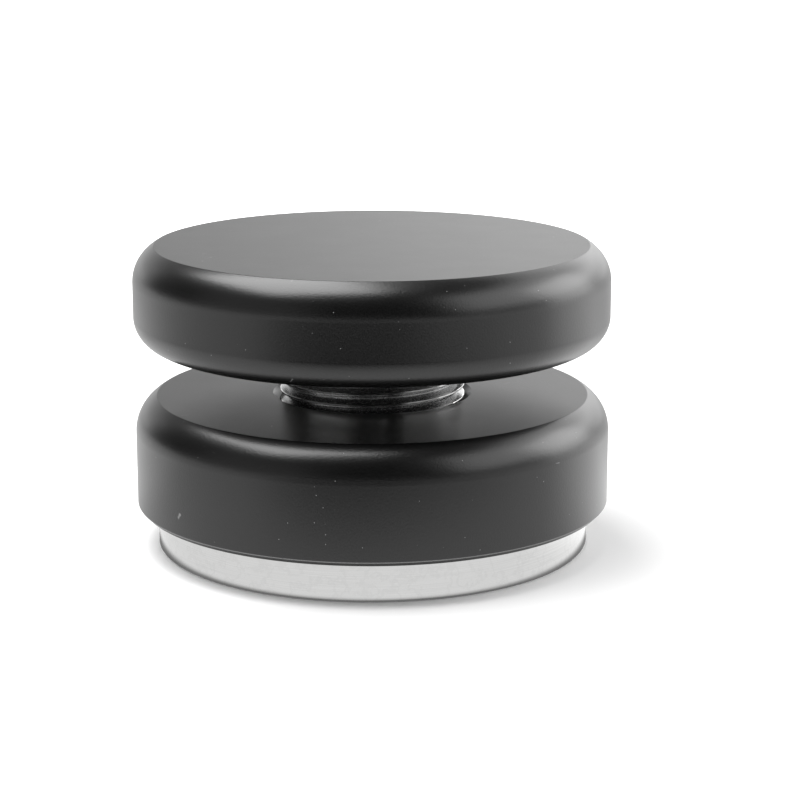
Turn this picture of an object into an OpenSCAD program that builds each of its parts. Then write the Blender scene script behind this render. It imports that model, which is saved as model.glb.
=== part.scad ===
// Palm espresso tamper with a screw-set depth collar and a lock-nut handle.
// The base and its threaded stem are one unit. The collar turns on the stem to
// set how far the base stands out below it, and rests on the basket's rim. The
// handle turns on the same stem and screws down on the collar to lock it.
// The origin is the centre of the tamping face. +Z points up the stem.

/* [Tamping base] */
// Diameter of the base, for the basket that it tamps in
base_d = 58.5; // [51:0.1:61]
// Height of the base
base_h = 10.5; // [9.5:0.1:13]
// Height of the full-diameter land above the tamping face
land_h = 5.2; // [3:0.1:6]
// How much the base's radius steps in above the land
land_relief = 0.35; // [0.3:0.05:0.8]
// Chamfer round the tamping face
face_chamfer = 0.3; // [0.1:0.05:1]
// Chamfer round the top of the base
top_chamfer = 0.6; // [0.2:0.1:1.5]

/* [Discs] */
// Outer diameter of the collar and of the handle
disc_d = 64; // [62:0.5:70]
// How far the flat face ends inside the disc's side
edge_inset = 2.9; // [1.5:0.1:4]
// Height of the rounded upper edge, from the side to the flat face
edge_h = 4.6; // [4:0.1:6]
// Height of the handle's rounded lower edge
under_edge_h = 3.6; // [3:0.1:5]

/* [Depth collar] */
// Height of the collar
collar_h = 15; // [14:0.5:20]
// How far the base stands out below the collar
depth = 5.5; // [5.3:0.1:6.5]
// How far the collar can screw down from there
collar_drop = 1.5; // [0.5:0.1:2.5]
// Radial gap between the base and the collar's wall
base_gap = 0.3; // [0.15:0.05:0.6]
// Chamfer round the collar's lower edge
collar_chamfer = 0.55; // [0.2:0.05:0.8]
// Height of the countersink round the stem in the collar's top
countersink_h = 0.8; // [0.4:0.1:1.2]

/* [Palm handle] */
// Height of the handle
handle_h = 13.2; // [12:0.1:18]
// Gap between the collar and the handle, with the handle backed off
handle_gap = 7.1; // [3:0.1:7.5]
// Thickness of the handle above its blind bore
handle_roof = 1.8; // [1.2:0.1:4]
// Height of the lead-in chamfer at the bore's mouth
lead_in_h = 0.5; // [0.3:0.1:1]
// Height of the thread relief at the bore's blind end
relief_h = 1.8; // [1.2:0.1:3]
// Room left above the stem when the handle is locked on the lowest collar
stem_room = 0.25; // [0.1:0.05:1]

/* [Thread] */
// Outer diameter of the stem's thread
thread_d = 25; // [22:0.5:30]
// Pitch of the thread
pitch = 1.5; // [1:0.25:2]
// Radial play between the stem's thread and the threads in the discs
thread_play = 0.15; // [0.12:0.01:0.25]
// Facets in one turn of the thread
thread_steps = 48; // [36:12:72]

/* [Friction rings] */
// Thickness of the rubber of both rings
ring_wire = 1.78; // [1.2:0.01:2.4]
// Gap between a ring and the walls of its groove
ring_gap = 0.07; // [0.03:0.01:0.1]
// Gap between the collar's ring and the crests of the stem's thread
ring_grip = 0.05; // [0.02:0.01:0.1]
// Height of the lip that holds the collar's ring up
ring_lip_h = 1; // [0.6:0.1:1.5]
// Mean diameter of the ring under the handle
grip_ring_d = 42; // [36:0.5:50]
// How far the ring under the handle stands out of its groove
grip_ring_proud = 0.3; // [0.1:0.05:0.5]

/* [Stem fixing] */
// Diameter of the hollow inside the stem
stem_bore_d = 16; // [15.2:0.1:17]
// Thickness of the stem's floor above the base
stem_floor = 2.5; // [2:0.1:4]
// Height of the plain foot below the thread
foot_h = 1.2; // [0.8:0.1:1.5]
// Depth of the spigot that centres the stem in the base
spigot_h = 1.5; // [1:0.1:2]
// Diameter of that spigot
spigot_d = 20; // [17:0.5:21]
// Nominal diameter of the stem's bolt
bolt_d = 8; // [6:0.5:8]
// Length of the bolt below its head
bolt_l = 12; // [11:0.5:12.5]
// Diameter of the bolt's head
bolt_head_d = 13; // [10:0.5:14]
// Height of the bolt's head
bolt_head_h = 8; // [6:0.5:8]
// Width across the flats of the hexagon socket
socket_af = 6; // [4:0.5:7]
// Depth of the hexagon socket
socket_h = 4; // [3:0.5:5]
// Outer diameter of the split lock washer
washer_d = 14.8; // [13:0.1:15]
// Thickness of that washer
washer_h = 2; // [1.2:0.1:2.5]
// Width of the split in that washer
washer_split = 1; // [0.5:0.1:2]
// Diameter of the two dowels that stop the stem from turning
dowel_d = 2.5; // [2:0.1:3]
// Length of a dowel
dowel_l = 6; // [4:0.5:6.5]
// Distance from the axis to a dowel
dowel_r = 6.4; // [6:0.1:7]

/* [Hidden] */
$fn = 96;

// Clearances and small allowances
slip = 0.05;           // radial play of a bolt, washer or spigot in its hole
dowel_fit = 0.02;      // radial play of a dowel
running_gap = 0.2;     // room left where two pieces stop short of each other
bore_room = 0.1;       // radial room of a plain bore round the threads' outer radius
cut = 1;               // how far a cutter reaches past the face that it opens
groove_side = 0.12;    // room above and below a ring in its groove
blind_h = 0.5;         // room left below the bolt and the dowels in the base
corner_chamfer = 0.4;  // chamfer on the ends of small turned pieces

// Form of an ISO metric thread, in pitches
crest_flat = 1 / 8;        // width of the crest's flat
screw_thread_h = 0.6134;   // height of the external thread, from root to crest
nut_thread_h = 0.5413;     // height of the internal thread

// Radii
base_r = base_d / 2;
disc_r = disc_d / 2;
recess_r = base_r + base_gap;
crest_r = thread_d / 2;
crest_w = crest_flat * pitch;
root_r = crest_r - screw_thread_h * pitch;
nut_r = crest_r - nut_thread_h * pitch;
tap_r = crest_r + thread_play;
clear_r = tap_r + bore_room;
ring_r = ring_wire / 2;
collar_ring_r = crest_r + ring_grip + ring_r;

// Levels of the base and stem
foot_z = base_h + foot_h;
floor_z = base_h + stem_floor;
head_z = floor_z + washer_h;
bolt_end_z = head_z - bolt_l;
spigot_z = base_h - spigot_h;

// Levels of the collar
collar_z = depth;
collar_top_z = collar_z + collar_h;
recess_z = base_h + collar_drop + running_gap;
ring_groove_h = ring_wire + 2 * groove_side;
ring_groove_z = recess_z + ring_lip_h;
collar_ring_z = ring_groove_z + ring_groove_h / 2;

// Levels of the handle
handle_z = collar_top_z + handle_gap;
handle_top_z = handle_z + handle_h;
bore_end_z = handle_top_z - handle_roof;
grip_groove_h = ring_wire - grip_ring_proud + ring_gap;
grip_ring_z = handle_z - grip_ring_proud + ring_r;
// The handle comes down by this much until its ring meets the collar
lock_travel = handle_gap - grip_ring_proud;
stem_top_z = bore_end_z - lock_travel - collar_drop - stem_room;

// Radius of the arc that leaves a straight side and ends inset by w, h further on.
function edge_radius(w, h) = (w * w + h * h) / (2 * w);

// Turned outline

// What a rounded edge takes off the corner at radius r and level 0, below that level.
module edge_cut(r, w, h) {
    arc = edge_radius(w, h);
    translate([r - arc, -h]) difference() {
        square([arc + cut, h + cut]);
        circle(arc);
    }
}

// Half section of a flat disc, from level z up to z + h, before its edges are rounded.
module disc_section(z, h) {
    translate([0, z]) square([disc_r, h]);
}

// A chamfer of size c on an outer corner at radius r and level z, pointing up or down.
module chamfer_cut(r, z, c, up = true) {
    side = up ? 1 : -1;
    polygon([[r - c, z], [r + cut, z - side * (c + cut)], [r + cut, z + side * cut],
             [r - c, z + side * cut]]);
}

// A chamfer round the mouth of a hole of radius r at level z, h deep.
module mouth_cut(r, z, h, up = true) {
    side = up ? 1 : -1;
    polygon([[r - cut, z - side * (h + cut)], [r + h + cut, z + side * cut],
             [r - cut, z + side * cut]]);
}

// Screw thread

flank_angle = 30;      // half of the angle between two flanks
fade_turn = 0.5;       // turns over which the thread fades out at its ends
fade_step = 0.05;      // height left of the thread where it ends
plain_end = 0.05;      // least height of the plain round end below and above the thread

// A right-hand screw from level z0 to z1, solid to the axis, with plain round ends.
// The middle of the root passes level 0 at angle 0, so that every screw of one
// pitch is in step with every other.
module screw(crest, root, z0, z1) {
    flank_w = (crest - root) * tan(flank_angle);
    root_w = pitch - crest_w - 2 * flank_w;
    rise = [-root_w / 2, root_w / 2, root_w / 2 + flank_w, root_w / 2 + flank_w + crest_w];
    start = pitch * ceil((z0 + root_w / 2 + plain_end) / pitch);
    n = floor((z1 - plain_end - start - pitch + root_w / 2) / pitch * thread_steps);
    fade_n = fade_turn * thread_steps;

    // Radius of the crest at step i: full along the thread, fading at both ends
    function crest_at(i) = root + fade_step
        + (crest - root - fade_step) * min(1, i / fade_n, (n - i) / fade_n);
    function at(r, i, z) = [r * cos(360 * i / thread_steps), r * sin(360 * i / thread_steps), z];
    function helix(i, j) = at(j < 2 ? root : crest_at(i), i, start + pitch * i / thread_steps + rise[j]);

    // Numbers of the points. Each step has four: the root's lower and upper edge and
    // the crest's. Then come one more turn of the root's lower edge and the end rings.
    turn = thread_steps;
    function p(i, j) = i > n ? 3 * (n + 1) + i : 4 * i + j;
    function low(i) = 4 * (n + 1) + turn + i % turn;
    function high(i) = low(i) + turn;

    // Two facets between an edge a-b and the edge d-c above it
    function quad(a, b, c, d) = [[a, c, b], [a, d, c]];
    // Facets that join point a to each stretch of a line of points
    function fan(a, line) = [for (k = [1:len(line) - 1]) [a, line[k], line[k - 1]]];

    points = concat(
        [for (i = [0:n], j = [0:3]) helix(i, j)],
        [for (i = [n + 1:n + turn]) helix(i, 0)],
        [for (i = [0:turn - 1]) at(root, i, z0)],
        [for (i = [0:turn - 1]) at(root, i, z1)]);
    thread = [for (i = [0:n - 1], j = [0:2], f = quad(p(i, j), p(i + 1, j), p(i + 1, j + 1), p(i, j + 1))) f];
    seam = [for (i = [0:n - 1], f = quad(p(i, 3), p(i + 1, 3), p(i + 1 + turn, 0), p(i + turn, 0))) f];
    below = [for (i = [0:turn - 2], f = quad(low(i), low(i + 1), p(i + 1, 0), p(i, 0))) f];
    above = [for (i = [n + 1:n + turn - 1], f = quad(p(i, 0), p(i + 1, 0), high(i + 1), high(i))) f];
    start_facets = concat(
        fan(low(turn - 1), [low(0), p(0, 0), p(0, 1), p(turn, 0), p(turn - 1, 0)]),
        [[p(turn, 0), p(0, 3), p(0, 2), p(0, 1)]]);
    end_facets = concat(
        fan(p(n + 1, 0), [high(n + 1), high(n), p(n + turn, 0), p(n, 1), p(n, 0)]),
        [[p(n, 1), p(n, 2), p(n, 3), p(n + turn, 0)]]);
    ends = [[for (i = [0:turn - 1]) low(i)], [for (i = [turn - 1:-1:0]) high(i)]];
    polyhedron(points, concat(thread, seam, below, above, start_facets, end_facets, ends));
}

// Cutter that threads a hole between levels z0 and z1.
module tap(z0, z1) {
    screw(tap_r, root_r, z0, z1);
}

// Base and stem

// Stainless disc that presses the coffee, with the seat of the stem in its top.
module tamping_base() {
    color("silver") difference() {
        rotate_extrude() difference() {
            square([base_r, base_h]);
            translate([base_r - land_relief, land_h]) square([land_relief + cut, base_h]);
            chamfer_cut(base_r, 0, face_chamfer, up = false);
            chamfer_cut(base_r - land_relief, base_h, top_chamfer);
        }
        translate([0, 0, spigot_z]) cylinder(r = spigot_d / 2 + slip, h = spigot_h + cut);
        translate([0, 0, bolt_end_z - blind_h]) cylinder(r = bolt_d / 2 + slip, h = base_h);
        dowel_pair() translate([0, 0, spigot_z - dowel_l / 2 - blind_h])
            cylinder(r = dowel_d / 2 + dowel_fit, h = dowel_l);
    }
}

// Places its child at both dowels.
module dowel_pair() {
    for (side = [-1, 1]) translate([side * dowel_r, 0, 0]) children();
}

// Hollow stem: a spigot and plain foot below, and the thread that both discs turn on.
module threaded_stem() {
    color("gainsboro") difference() {
        union() {
            screw(crest_r, root_r, foot_z - foot_h / 2, stem_top_z);
            rotate_extrude() union() {
                translate([0, spigot_z]) square([spigot_d / 2, spigot_h + foot_h / 2]);
                translate([0, base_h]) square([crest_r - corner_chamfer, foot_h]);
            }
        }
        translate([0, 0, floor_z]) cylinder(r = stem_bore_d / 2, h = stem_top_z);
        translate([0, 0, spigot_z - cut]) cylinder(r = bolt_d / 2 + 2 * slip, h = stem_top_z);
        dowel_pair() translate([0, 0, spigot_z - cut])
            cylinder(r = dowel_d / 2 + dowel_fit, h = dowel_l / 2 + cut);
    }
}

// Socket head screw that holds the stem down, reached through the stem.
module stem_bolt() {
    color("dimgray") difference() {
        rotate_extrude() difference() {
            union() {
                translate([0, bolt_end_z]) square([bolt_d / 2, bolt_l + cut]);
                translate([0, head_z]) square([bolt_head_d / 2, bolt_head_h]);
            }
            chamfer_cut(bolt_d / 2, bolt_end_z, corner_chamfer, up = false);
            chamfer_cut(bolt_head_d / 2, head_z + bolt_head_h, corner_chamfer);
        }
        translate([0, 0, head_z + bolt_head_h - socket_h])
            cylinder(r = socket_af / 2 / cos(30), h = socket_h + cut, $fn = 6);
    }
}

// Split lock washer under the bolt's head.
module bolt_lock_washer() {
    color("slategray") translate([0, 0, floor_z]) difference() {
        cylinder(r = washer_d / 2, h = washer_h);
        translate([0, 0, -cut]) cylinder(r = bolt_d / 2 + 2 * slip, h = washer_h + 2 * cut);
        translate([0, -washer_split / 2, -cut]) cube([washer_d, washer_split, washer_h + 2 * cut]);
    }
}

// Two hardened dowels between the base and the stem's floor.
module stem_dowels() {
    color("darkgray") dowel_pair() translate([0, 0, spigot_z - dowel_l / 2])
        cylinder(r = dowel_d / 2, h = dowel_l);
}

// Collar

// Black anodised collar: a thin skirt round the base under a threaded hub.
module depth_collar() {
    color([0.12, 0.12, 0.13]) difference() {
        rotate_extrude() difference() {
            disc_section(collar_z, collar_h);
            translate([0, collar_top_z]) edge_cut(disc_r, edge_inset, edge_h);
            chamfer_cut(disc_r, collar_z, collar_chamfer, up = false);
            translate([0, collar_z - cut]) square([recess_r, recess_z - collar_z + cut]);
            square([nut_r, handle_z]);
            translate([0, collar_z]) square([clear_r, ring_groove_z - collar_z]);
            translate([0, ring_groove_z]) square([collar_ring_r + ring_r + ring_gap, ring_groove_h]);
            mouth_cut(tap_r, collar_top_z, countersink_h);
        }
        tap(ring_groove_z - pitch, collar_top_z + 2 * pitch);
    }
}

// Rubber ring in the collar's bore: it grips the stem so that the setting stays.
module collar_friction_ring() {
    color([0.05, 0.05, 0.05]) rotate_extrude()
        translate([collar_ring_r, collar_ring_z]) circle(ring_r);
}

// Handle

// Black anodised palm disc with a blind threaded bore.
module palm_handle() {
    color([0.12, 0.12, 0.13]) difference() {
        rotate_extrude() difference() {
            disc_section(handle_z, handle_h);
            translate([0, handle_top_z]) edge_cut(disc_r, edge_inset, edge_h);
            translate([0, handle_z]) mirror([0, 1]) edge_cut(disc_r, edge_inset, under_edge_h);
            translate([0, collar_z]) square([nut_r, bore_end_z - collar_z]);
            translate([0, bore_end_z - relief_h]) square([clear_r, relief_h]);
            mouth_cut(tap_r, handle_z, lead_in_h, up = false);
            translate([grip_ring_d / 2 - ring_r - ring_gap, handle_z - cut])
                square([ring_wire + 2 * ring_gap, grip_groove_h + cut]);
        }
        tap(handle_z - 2 * pitch, bore_end_z - 2 * slip);
    }
}

// Rubber ring in the handle's underside, which presses on the collar to lock it.
module handle_grip_ring() {
    color([0.05, 0.05, 0.05]) rotate_extrude()
        translate([grip_ring_d / 2, grip_ring_z]) circle(ring_r);
}

tamping_base();
threaded_stem();
stem_bolt();
bolt_lock_washer();
stem_dowels();
depth_collar();
collar_friction_ring();
palm_handle();
handle_grip_ring();
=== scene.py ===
"""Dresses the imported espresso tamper: anodised turned discs on a polished screw, in a soft white studio.

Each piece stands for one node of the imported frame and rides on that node's body. It takes its place and
outer size from the node's box. What a box can't tell, such as how an edge is rounded, is a field of the
class that makes the piece. All sizes are in metres.
"""

import logging
import math
import random
from dataclasses import dataclass, field, replace
from enum import Enum
from typing import Iterator, Sequence

import bmesh
import bpy
from mathutils import Matrix, Vector


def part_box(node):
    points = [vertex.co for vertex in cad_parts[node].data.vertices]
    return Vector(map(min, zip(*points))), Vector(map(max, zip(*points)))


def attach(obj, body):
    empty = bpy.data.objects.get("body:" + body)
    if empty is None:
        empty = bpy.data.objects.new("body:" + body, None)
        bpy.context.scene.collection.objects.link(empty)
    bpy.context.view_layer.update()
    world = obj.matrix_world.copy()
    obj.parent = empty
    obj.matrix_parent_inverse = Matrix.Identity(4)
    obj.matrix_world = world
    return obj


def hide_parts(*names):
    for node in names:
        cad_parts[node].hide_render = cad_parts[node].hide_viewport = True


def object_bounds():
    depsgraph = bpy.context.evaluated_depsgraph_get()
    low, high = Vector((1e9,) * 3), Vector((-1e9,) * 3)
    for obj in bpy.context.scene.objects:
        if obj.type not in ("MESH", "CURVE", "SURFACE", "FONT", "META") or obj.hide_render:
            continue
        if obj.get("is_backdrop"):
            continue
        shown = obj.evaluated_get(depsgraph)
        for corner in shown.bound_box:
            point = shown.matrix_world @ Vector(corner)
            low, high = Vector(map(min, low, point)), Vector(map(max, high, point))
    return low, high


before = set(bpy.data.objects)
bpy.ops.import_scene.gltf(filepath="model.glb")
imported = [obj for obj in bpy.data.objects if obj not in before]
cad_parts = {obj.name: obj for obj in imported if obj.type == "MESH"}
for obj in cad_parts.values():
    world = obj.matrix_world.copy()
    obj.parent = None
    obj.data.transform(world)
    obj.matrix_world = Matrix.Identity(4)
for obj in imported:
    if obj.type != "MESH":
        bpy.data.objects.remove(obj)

LOG = logging.getLogger("tamper")
MM = 0.001
OVERRUN = 1.0 * MM  # how far a cutter reaches past the face that it opens
NOISE_RANGE = (0.3, 0.7)  # where nearly all values of a noise lie
MIX_COLOURS = (6, 7)  # numbers of a Mix node's two colour inputs
Point = tuple[float, float]
Colour = tuple[float, float, float, float]
Vert = bmesh.types.BMVert
Socket = bpy.types.NodeSocket
Value = Socket | Colour | float


class Node(Enum):
    """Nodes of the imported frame."""

    BASE = "tamping_base"
    STEM = "threaded_stem"
    BOLT = "stem_bolt"
    WASHER = "bolt_lock_washer"
    DOWELS = "stem_dowels"
    COLLAR = "depth_collar"
    COLLAR_RING = "collar_friction_ring"
    HANDLE = "palm_handle"
    HANDLE_RING = "handle_grip_ring"


class Body(Enum):
    """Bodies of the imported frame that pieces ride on."""

    BASE = "base"
    COLLAR_CARRIER = "collar_carrier"
    COLLAR = "collar"
    HANDLE_CARRIER = "handle_carrier"
    HANDLE = "handle"


class Slot(Enum):
    """The record's material slots."""

    STEEL = "stainless_base"
    THREAD = "polished_thread"
    DARK_FASTENER = "dark_fastener"
    PLATED_FASTENER = "plated_fastener"
    ANODISED = "black_anodised"
    RUBBER = "black_rubber"


class Cut(Enum):
    """How one solid is applied to another."""

    JOIN = "UNION"
    REMOVE = "DIFFERENCE"


class Facing(Enum):
    """Which way a soft box faces: its value is the direction of its back."""

    DOWN = (0.0, 0.0, 1.0)
    OBJECT = None


# Turned forms


@dataclass(frozen=True)
class Corner:
    """A corner of a half section: its radius, its level and the radius that its edge is broken to."""

    r: float
    z: float
    broken: float = 0.0


@dataclass
class Outline:
    """Half section of a turned piece, walked with the metal on the left.

    Each long straight run gets a point at guard's distance from both of its ends, so that smooth shading
    bends only there.
    """

    corners: list[Corner] = field(default_factory=list)
    guard: float = 0.05 * MM
    long_run: float = 8.0
    shallowest: float = 0.35

    def to(self, r: float, z: float, broken: float = 0.0) -> "Outline":
        """Adds a corner.

        Args:
            r: Radius of the corner.
            z: Level of the corner.
            broken: Radius that the edge is broken to, or 0 for a sharp one.

        Returns:
            This outline, so that calls can be chained.
        """
        self.corners.append(Corner(r, z, broken))
        return self

    def arc(self, centre: Point, radius: float, start: float, end: float, steps: int) -> "Outline":
        """Adds points along an arc.

        Args:
            centre: Radius and level of the arc's centre.
            radius: The arc's radius.
            start: Angle of the first point from the outward radius, in radians.
            end: Angle of the last point.
            steps: How many chords the arc is made of.

        Returns:
            This outline.
        """
        for k in range(steps + 1):
            a = start + (end - start) * k / steps
            self.to(centre[0] + radius * math.cos(a), centre[1] + radius * math.sin(a))
        return self

    def tool_marks(self, end: Point, feed: float, depth: float, seed: int) -> "Outline":
        """Adds a straight cut that carries fine marks of the turning tool, sunk into the metal.

        Args:
            end: Radius and level where the cut ends.
            feed: Mean distance from mark to mark.
            depth: Depth of the deepest marks.
            seed: Seed of the marks' random depths.

        Returns:
            This outline.
        """
        dice = random.Random(seed)
        start = self.corners[-1]
        run = Vector((end[0] - start.r, end[1] - start.z))
        inward = Vector((-run.y, run.x)).normalized()
        count = max(2, round(run.length / feed))
        for k in range(1, 2 * count):
            sunk = depth * dice.uniform(self.shallowest, 1.0) if k % 2 else 0.0
            at = Vector((start.r, start.z)) + run * k / (2 * count) + inward * sunk
            self.to(at.x, at.y)
        return self.to(*end)

    def points(self, closed: bool) -> list[Point]:
        """Works out the outline's points, with its edges broken and flats held close to them.

        Args:
            closed: Whether the last corner joins the first.

        Returns:
            Radius and level of each point.
        """
        soft: list[Point] = []
        count = len(self.corners)
        for k, corner in enumerate(self.corners):
            inner = closed or 0 < k < count - 1
            if corner.broken and inner:
                soft += self._broken(self.corners[k - 1], corner, self.corners[(k + 1) % count])
            else:
                soft.append((corner.r, corner.z))
        held: list[Point] = []
        for k, a in enumerate(soft):
            held.append(a)
            if k == len(soft) - 1 and not closed:
                break
            b = soft[(k + 1) % len(soft)]
            run = Vector(b) - Vector(a)
            if run.length > self.long_run * self.guard:
                step = run.normalized() * self.guard
                held += [tuple(Vector(a) + step), tuple(Vector(b) - step)]
        return held

    @staticmethod
    def _broken(before: Corner, at: Corner, after: Corner, steps: int = 5) -> list[Point]:
        """Replaces a corner with a small arc that meets both of its sides smoothly.

        Args:
            before: The corner before.
            at: The corner to break.
            after: The corner after.
            steps: How many chords the arc is made of.

        Returns:
            The arc's points.
        """
        here = Vector((at.r, at.z))
        back = (Vector((before.r, before.z)) - here).normalized()
        ahead = (Vector((after.r, after.z)) - here).normalized()
        half = back.angle(ahead) / 2
        middle = (back + ahead).normalized()
        centre = here + middle * at.broken / math.sin(half)
        first = here + back * at.broken / math.tan(half) - centre
        last = here + ahead * at.broken / math.tan(half) - centre
        sweep = first.angle_signed(last)
        turned = [Matrix.Rotation(-sweep * k / steps, 2) @ first + centre for k in range(steps + 1)]
        return [(p.x, p.y) for p in turned]


@dataclass(frozen=True)
class Lathe:
    """Turns outlines round the Z axis into closed meshes."""

    segments: int = 288
    on_axis: float = 1e-9

    def turn(self, name: str, outline: Outline, closed: bool = False) -> bpy.types.Object:
        """Turns an outline.

        Args:
            name: Name of the piece.
            outline: Its half section. An open one starts and ends on the axis.
            closed: Whether the outline closes on itself, away from the axis.

        Returns:
            The piece, placed where its outline says.
        """
        sheet = bmesh.new()
        rings = [self._ring(sheet, r, z) for r, z in outline.points(closed)]
        pairs = list(zip(rings, rings[1:] + rings[:1])) if closed else list(zip(rings, rings[1:]))
        for low, high in pairs:
            for k in range(self.segments):
                n = (k + 1) % self.segments
                below, above = [low[i % len(low)] for i in (k, n)], [high[i % len(high)] for i in (n, k)]
                sheet.faces.new(list(dict.fromkeys(below + above)))
        return placed(name, sheet)

    def _ring(self, sheet: bmesh.types.BMesh, r: float, z: float) -> list[Vert]:
        """Adds one ring of vertices, or a single one on the axis.

        Args:
            sheet: The mesh in the making.
            r: The ring's radius.
            z: Its level.

        Returns:
            The ring's vertices.
        """
        if r < self.on_axis:
            return [sheet.verts.new((0.0, 0.0, z))]
        turns = [math.tau / self.segments * k for k in range(self.segments)]
        return [sheet.verts.new((r * math.cos(a), r * math.sin(a), z)) for a in turns]


@dataclass(frozen=True)
class ThreadForm:
    """Form of a metric thread, in step with every other thread of the same pitch."""

    pitch: float
    crest: float
    root: float
    crest_flat: float = 0.125
    flank: float = math.radians(30)
    broken: float = 0.035 * MM
    root_ease: float = 1.4

    def section(self) -> list[Point]:
        """Works out the thread's outline over one pitch.

        Returns:
            Each point's share of the thread's height, and its rise from the middle of the root.
        """
        height = self.crest - self.root
        flank_run = height * math.tan(self.flank)
        crest_run = self.crest_flat * self.pitch
        root_run = self.pitch - crest_run - 2 * flank_run
        small = self.broken / height
        top = root_run / 2 + flank_run
        slope = small * flank_run
        eased = slope * self.root_ease
        return [
            (0.0, -root_run / 2),
            (0.0, root_run / 2),
            (small, root_run / 2 + eased),
            (1 - small, top - slope),
            (1.0, top + self.broken),
            (1.0, top + crest_run - self.broken),
            (1 - small, top + crest_run + slope),
            (small, top + crest_run + flank_run - eased),
        ]


@dataclass(frozen=True)
class Screw:
    """A right-hand screw, solid to the axis, whose thread fades out at both ends."""

    form: ThreadForm
    low: float
    high: float
    steps: int = 144
    fade_turns: float = 0.5
    plain: float = 0.05 * MM

    @property
    def start(self) -> float:
        """Level of the first step: whole pitches up, so that threads of one pitch are in step."""
        return self.form.pitch * math.ceil((self.low + self._half_root + self.plain) / self.form.pitch)

    @property
    def count(self) -> int:
        """How many steps the thread has."""
        run = self.high - self.plain - self.start - self.form.pitch + self._half_root
        return math.floor(run / self.form.pitch * self.steps)

    @property
    def _half_root(self) -> float:
        """Half of the root's width."""
        return self.form.section()[1][1]

    def cut(self, name: str) -> bpy.types.Object:
        """Makes the screw.

        Args:
            name: Name of the piece.

        Returns:
            The screw as a closed mesh.
        """
        sheet = bmesh.new()
        rows = self._rows(sheet)
        low = [self._vert(sheet, self.form.root, i, self.low) for i in range(self.steps)]
        high = [self._vert(sheet, self.form.root, i, self.high) for i in range(self.steps)]
        for corners in self._faces(rows, low, high):
            sheet.faces.new(corners)
        return placed(name, sheet)

    def _vert(self, sheet: bmesh.types.BMesh, r: float, step: int, z: float) -> Vert:
        """Adds a vertex at a radius, step and level."""
        a = math.tau * step / self.steps
        return sheet.verts.new((r * math.cos(a), r * math.sin(a), z))

    def _rows(self, sheet: bmesh.types.BMesh) -> list[list[Vert]]:
        """Adds the thread's vertices.

        Args:
            sheet: The mesh in the making.

        Returns:
            A row for each step, from the root's lower edge up, then one more turn of that edge alone.
        """
        form, count, start = self.form, self.count, self.start
        section, fade = form.section(), self.fade_turns * self.steps
        rows = []
        for i in range(count + self.steps + 1):
            level = start + form.pitch * i / self.steps
            if i > count:
                rows.append([self._vert(sheet, form.root, i, level + section[0][1])])
                continue
            full = min(1.0, i / fade, (count - i) / fade)
            height = (form.crest - form.root - self.plain) * full + self.plain
            around = [(form.root + height * share, level + rise) for share, rise in section]
            rows.append([self._vert(sheet, r, i, z) for r, z in around])
        return rows

    def _faces(self, rows: list[list[Vert]], low: list[Vert], high: list[Vert]) -> Iterator[tuple[Vert, ...]]:
        """Lists the faces of the thread, of the plain ends below and above it, and of both end planes.

        Args:
            rows: The thread's vertices.
            low: The lower end's ring.
            high: The upper end's ring.

        Returns:
            The corners of each face in turn.
        """
        n, turn = self.count, self.steps
        first, last, seam = rows[0], rows[n], [row[0] for row in rows]
        for i in range(n):
            for j in range(len(first) - 1):
                yield rows[i][j], rows[i + 1][j], rows[i + 1][j + 1], rows[i][j + 1]
            yield rows[i][-1], rows[i + 1][-1], seam[i + 1 + turn], seam[i + turn]
        for i in range(turn - 1):
            yield low[i], low[i + 1], seam[i + 1], seam[i]
        for i in range(n + 1, n + turn):
            yield seam[i], seam[i + 1], high[(i + 1) % turn], high[i % turn]
        yield from self._fan(low[-1], [low[0], first[0], first[1], seam[turn], seam[turn - 1]])
        yield (*first[1:], seam[turn])
        top = [high[(n + 1) % turn], high[n % turn], seam[n + turn], last[1], last[0]]
        yield from self._fan(seam[n + 1], top)
        yield (seam[n + turn], *reversed(last[1:]))
        yield tuple(reversed(low))
        yield tuple(high)

    @staticmethod
    def _fan(point: Vert, line: Sequence[Vert]) -> list[tuple[Vert, Vert, Vert]]:
        """Returns the triangles that join a point to each stretch of a line of points."""
        return [(point, a, b) for a, b in zip(line, line[1:])]


def placed(name: str, sheet: bmesh.types.BMesh) -> bpy.types.Object:
    """Puts a mesh in the making into the scene.

    Args:
        name: Name of the piece.
        sheet: The mesh in the making, which is used up.

    Returns:
        The piece.
    """
    bmesh.ops.recalc_face_normals(sheet, faces=sheet.faces)
    mesh = bpy.data.meshes.new(name)
    sheet.to_mesh(mesh)
    sheet.free()
    piece = bpy.data.objects.new(name, mesh)
    bpy.context.scene.collection.objects.link(piece)
    return piece


def worked(body: bpy.types.Object, tool: bpy.types.Object, how: Cut) -> bpy.types.Object:
    """Applies one solid to another and removes it.

    Args:
        body: The solid that stays.
        tool: The solid that is joined to it or cut out of it.
        how: Which of the two.

    Returns:
        The body, with its mesh changed.
    """
    step = body.modifiers.new("work", "BOOLEAN")
    step.operation, step.object, step.solver = how.value, tool, "MANIFOLD"
    bpy.context.view_layer.update()
    old = body.data
    result = bpy.data.meshes.new_from_object(body.evaluated_get(bpy.context.evaluated_depsgraph_get()))
    body.modifiers.clear()
    body.data = result
    result.name = body.name
    bpy.data.meshes.remove(old)
    bpy.data.meshes.remove(tool.data)
    return body


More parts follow.
